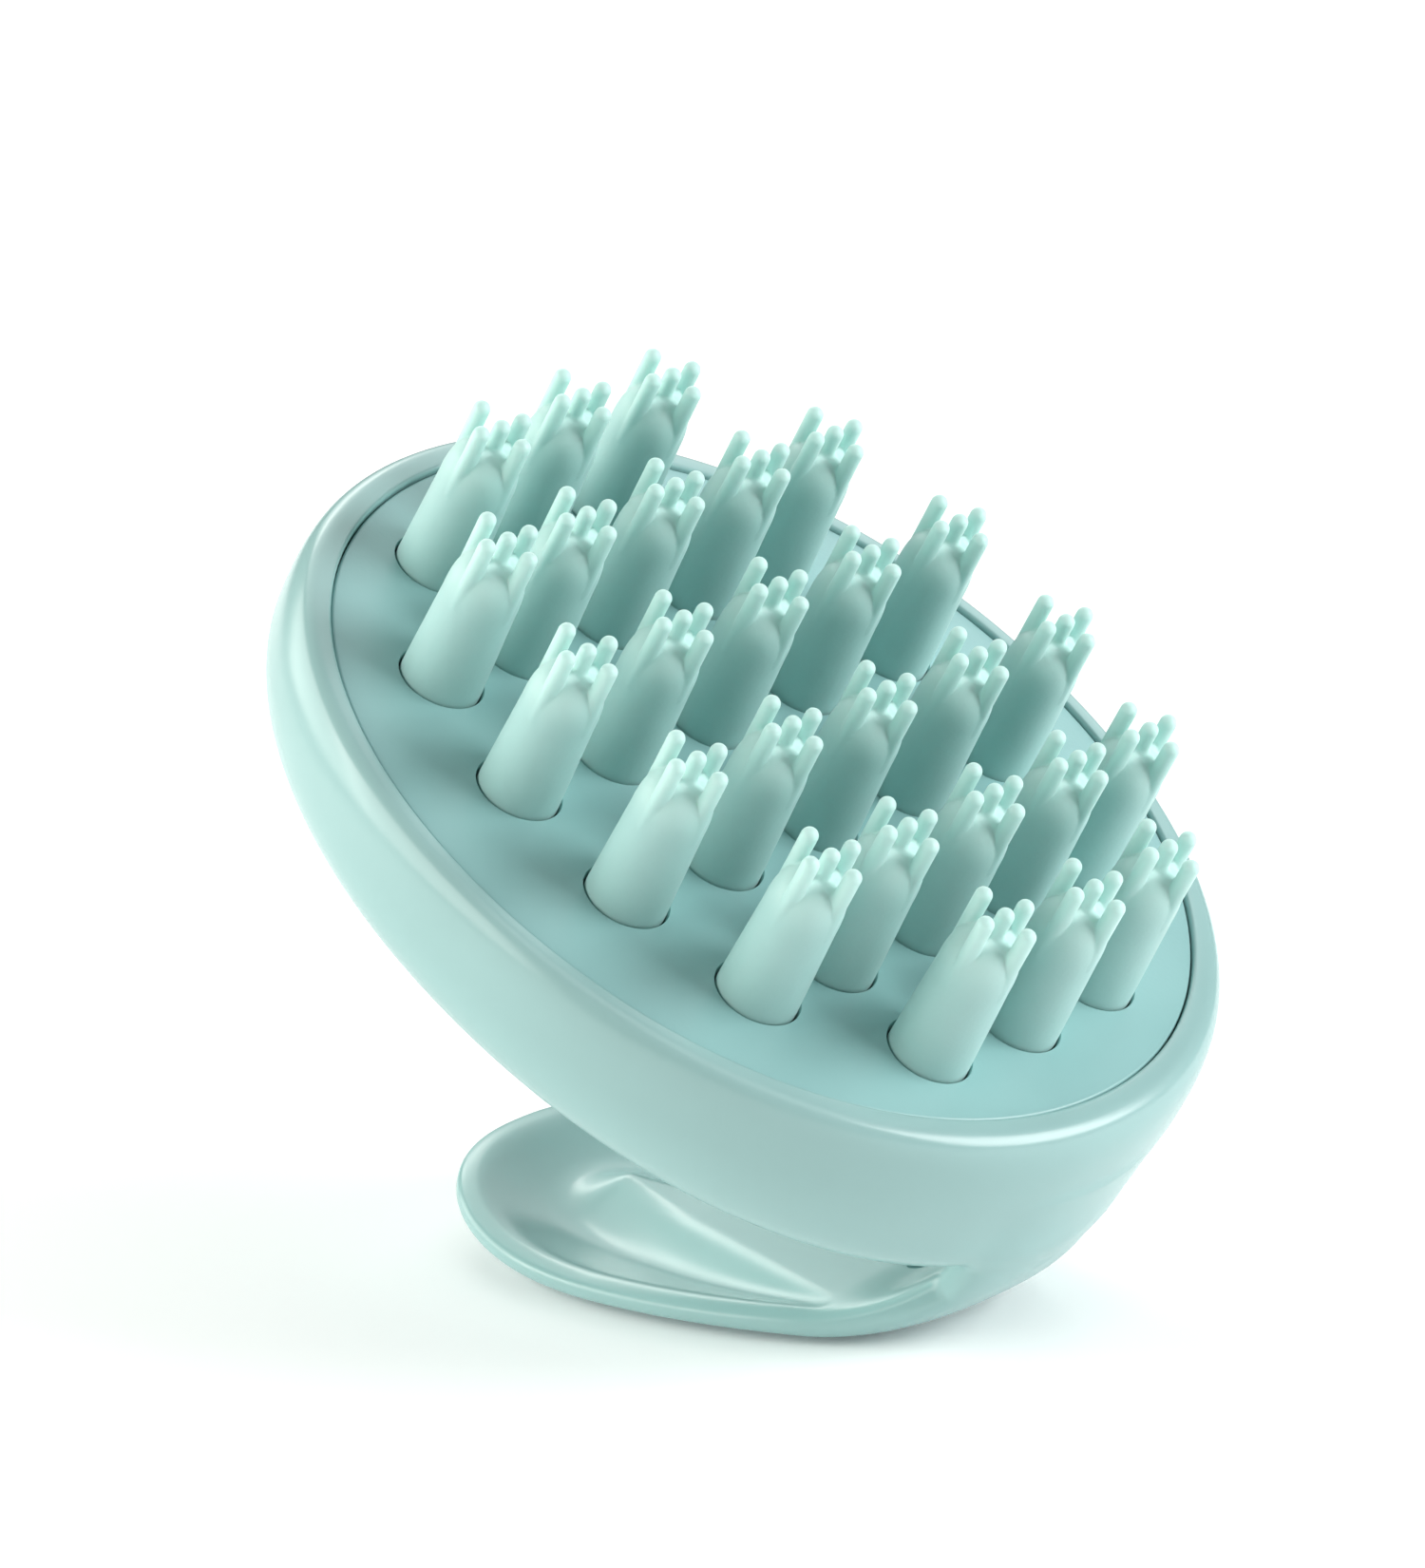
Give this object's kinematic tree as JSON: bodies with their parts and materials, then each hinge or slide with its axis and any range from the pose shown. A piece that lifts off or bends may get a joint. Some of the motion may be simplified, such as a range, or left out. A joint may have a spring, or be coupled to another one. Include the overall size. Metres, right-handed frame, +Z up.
{
  "type": "scalp massager brush",
  "caption": "Palm-sized scalp massager: an oval bowl-shaped head with soft pronged silicone bristles, and a spoon-shaped grip that hooks under the bowl and serves as its foot.",
  "frame": {"origin": "middle of the object's box at its underside, level with the flat foot of the grip", "axes": "+Z up, standing on the grip. X runs along the grip, from its raised tip at -X to its root at +X. Y is across, and Y = 0 is the mirror plane. The oval face is tilted 31.7 degrees about Y, its -X end up, so the bristles point up and towards +X."},
  "size_m": [0.08, 0.0788, 0.0766],
  "materials": {
    "shell": "glossy moulded plastic, pale aqua mint",
    "face": "satin moulded plastic, slightly deeper aqua",
    "silicone": "matte translucent silicone, aqua mint",
    "inner": "matte moulded plastic, off-white",
    "screw": "plain zinc-plated steel"
  },
  "bodies": {
    "brush": {"shell_with_handle": "shell", "face_plate": "face", "bristle_pad": "silicone", "backing_plate": "inner", "screw_1": "screw", "screw_2": "screw", "screw_3": "screw", "screw_4": "screw", "screw_5": "screw", "screw_6": "screw"},
    "bristle_01_body": {"bristle_01": "silicone"},
    "bristle_02_body": {"bristle_02": "silicone"},
    "bristle_03_body": {"bristle_03": "silicone"},
    "bristle_04_body": {"bristle_04": "silicone"},
    "bristle_05_body": {"bristle_05": "silicone"},
    "bristle_06_body": {"bristle_06": "silicone"},
    "bristle_07_body": {"bristle_07": "silicone"},
    "bristle_08_body": {"bristle_08": "silicone"},
    "bristle_09_body": {"bristle_09": "silicone"},
    "bristle_10_body": {"bristle_10": "silicone"},
    "bristle_11_body": {"bristle_11": "silicone"},
    "bristle_12_body": {"bristle_12": "silicone"},
    "bristle_13_body": {"bristle_13": "silicone"},
    "bristle_14_body": {"bristle_14": "silicone"},
    "bristle_15_body": {"bristle_15": "silicone"},
    "bristle_16_body": {"bristle_16": "silicone"},
    "bristle_17_body": {"bristle_17": "silicone"},
    "bristle_18_body": {"bristle_18": "silicone"},
    "bristle_19_body": {"bristle_19": "silicone"},
    "bristle_20_body": {"bristle_20": "silicone"},
    "bristle_21_body": {"bristle_21": "silicone"},
    "bristle_22_body": {"bristle_22": "silicone"},
    "bristle_23_body": {"bristle_23": "silicone"},
    "bristle_24_body": {"bristle_24": "silicone"},
    "bristle_25_body": {"bristle_25": "silicone"},
    "bristle_26_body": {"bristle_26": "silicone"}
  },
  "joints": [
    {"name": "bristle_01_bend", "type": "hinge", "parent": "brush", "child": "bristle_01_body", "pos_m": [-0.02504, -0.011, 0.06058], "axis": [0, 1, 0], "range_deg": [-12, 12], "stiffness_Nm_per_rad": 0.03},
    {"name": "bristle_02_bend", "type": "hinge", "parent": "brush", "child": "bristle_02_body", "pos_m": [-0.02568, 0, 0.06098], "axis": [0, 1, 0], "range_deg": [-12, 12], "stiffness_Nm_per_rad": 0.03},
    {"name": "bristle_03_bend", "type": "hinge", "parent": "brush", "child": "bristle_03_body", "pos_m": [-0.02504, 0.011, 0.06058], "axis": [0, 1, 0], "range_deg": [-12, 12], "stiffness_Nm_per_rad": 0.03},
    {"name": "bristle_04_bend", "type": "hinge", "parent": "brush", "child": "bristle_04_body", "pos_m": [-0.01542, -0.0212, 0.05465], "axis": [0, 1, 0], "range_deg": [-12, 12], "stiffness_Nm_per_rad": 0.03},
    {"name": "bristle_05_bend", "type": "hinge", "parent": "brush", "child": "bristle_05_body", "pos_m": [-0.01542, -0.0113, 0.05465], "axis": [0, 1, 0], "range_deg": [-12, 12], "stiffness_Nm_per_rad": 0.03},
    {"name": "bristle_06_bend", "type": "hinge", "parent": "brush", "child": "bristle_06_body", "pos_m": [-0.01542, 0, 0.05465], "axis": [0, 1, 0], "range_deg": [-12, 12], "stiffness_Nm_per_rad": 0.03},
    {"name": "bristle_07_bend", "type": "hinge", "parent": "brush", "child": "bristle_07_body", "pos_m": [-0.01542, 0.0113, 0.05465], "axis": [0, 1, 0], "range_deg": [-12, 12], "stiffness_Nm_per_rad": 0.03},
    {"name": "bristle_08_bend", "type": "hinge", "parent": "brush", "child": "bristle_08_body", "pos_m": [-0.01542, 0.0212, 0.05465], "axis": [0, 1, 0], "range_deg": [-12, 12], "stiffness_Nm_per_rad": 0.03},
    {"name": "bristle_09_bend", "type": "hinge", "parent": "brush", "child": "bristle_09_body", "pos_m": [-0.00424, -0.0243, 0.04774], "axis": [0, 1, 0], "range_deg": [-12, 12], "stiffness_Nm_per_rad": 0.03},
    {"name": "bristle_10_bend", "type": "hinge", "parent": "brush", "child": "bristle_10_body", "pos_m": [-0.00424, -0.0123, 0.04774], "axis": [0, 1, 0], "range_deg": [-12, 12], "stiffness_Nm_per_rad": 0.03},
    {"name": "bristle_11_bend", "type": "hinge", "parent": "brush", "child": "bristle_11_body", "pos_m": [-0.00424, 0, 0.04774], "axis": [0, 1, 0], "range_deg": [-12, 12], "stiffness_Nm_per_rad": 0.03},
    {"name": "bristle_12_bend", "type": "hinge", "parent": "brush", "child": "bristle_12_body", "pos_m": [-0.00424, 0.0123, 0.04774], "axis": [0, 1, 0], "range_deg": [-12, 12], "stiffness_Nm_per_rad": 0.03},
    {"name": "bristle_13_bend", "type": "hinge", "parent": "brush", "child": "bristle_13_body", "pos_m": [-0.00424, 0.0243, 0.04774], "axis": [0, 1, 0], "range_deg": [-12, 12], "stiffness_Nm_per_rad": 0.03},
    {"name": "bristle_14_bend", "type": "hinge", "parent": "brush", "child": "bristle_14_body", "pos_m": [0.00725, -0.0243, 0.04064], "axis": [0, 1, 0], "range_deg": [-12, 12], "stiffness_Nm_per_rad": 0.03},
    {"name": "bristle_15_bend", "type": "hinge", "parent": "brush", "child": "bristle_15_body", "pos_m": [0.00725, -0.0123, 0.04064], "axis": [0, 1, 0], "range_deg": [-12, 12], "stiffness_Nm_per_rad": 0.03},
    {"name": "bristle_16_bend", "type": "hinge", "parent": "brush", "child": "bristle_16_body", "pos_m": [0.00725, 0, 0.04064], "axis": [0, 1, 0], "range_deg": [-12, 12], "stiffness_Nm_per_rad": 0.03},
    {"name": "bristle_17_bend", "type": "hinge", "parent": "brush", "child": "bristle_17_body", "pos_m": [0.00725, 0.0123, 0.04064], "axis": [0, 1, 0], "range_deg": [-12, 12], "stiffness_Nm_per_rad": 0.03},
    {"name": "bristle_18_bend", "type": "hinge", "parent": "brush", "child": "bristle_18_body", "pos_m": [0.00725, 0.0243, 0.04064], "axis": [0, 1, 0], "range_deg": [-12, 12], "stiffness_Nm_per_rad": 0.03},
    {"name": "bristle_19_bend", "type": "hinge", "parent": "brush", "child": "bristle_19_body", "pos_m": [0.01844, -0.0212, 0.03373], "axis": [0, 1, 0], "range_deg": [-12, 12], "stiffness_Nm_per_rad": 0.03},
    {"name": "bristle_20_bend", "type": "hinge", "parent": "brush", "child": "bristle_20_body", "pos_m": [0.01844, -0.0113, 0.03373], "axis": [0, 1, 0], "range_deg": [-12, 12], "stiffness_Nm_per_rad": 0.03},
    {"name": "bristle_21_bend", "type": "hinge", "parent": "brush", "child": "bristle_21_body", "pos_m": [0.01844, 0, 0.03373], "axis": [0, 1, 0], "range_deg": [-12, 12], "stiffness_Nm_per_rad": 0.03},
    {"name": "bristle_22_bend", "type": "hinge", "parent": "brush", "child": "bristle_22_body", "pos_m": [0.01844, 0.0113, 0.03373], "axis": [0, 1, 0], "range_deg": [-12, 12], "stiffness_Nm_per_rad": 0.03},
    {"name": "bristle_23_bend", "type": "hinge", "parent": "brush", "child": "bristle_23_body", "pos_m": [0.01844, 0.0212, 0.03373], "axis": [0, 1, 0], "range_deg": [-12, 12], "stiffness_Nm_per_rad": 0.03},
    {"name": "bristle_24_bend", "type": "hinge", "parent": "brush", "child": "bristle_24_body", "pos_m": [0.02805, -0.011, 0.0278], "axis": [0, 1, 0], "range_deg": [-12, 12], "stiffness_Nm_per_rad": 0.03},
    {"name": "bristle_25_bend", "type": "hinge", "parent": "brush", "child": "bristle_25_body", "pos_m": [0.02869, 0, 0.0274], "axis": [0, 1, 0], "range_deg": [-12, 12], "stiffness_Nm_per_rad": 0.03},
    {"name": "bristle_26_bend", "type": "hinge", "parent": "brush", "child": "bristle_26_body", "pos_m": [0.02805, 0.011, 0.0278], "axis": [0, 1, 0], "range_deg": [-12, 12], "stiffness_Nm_per_rad": 0.03}
  ]
}
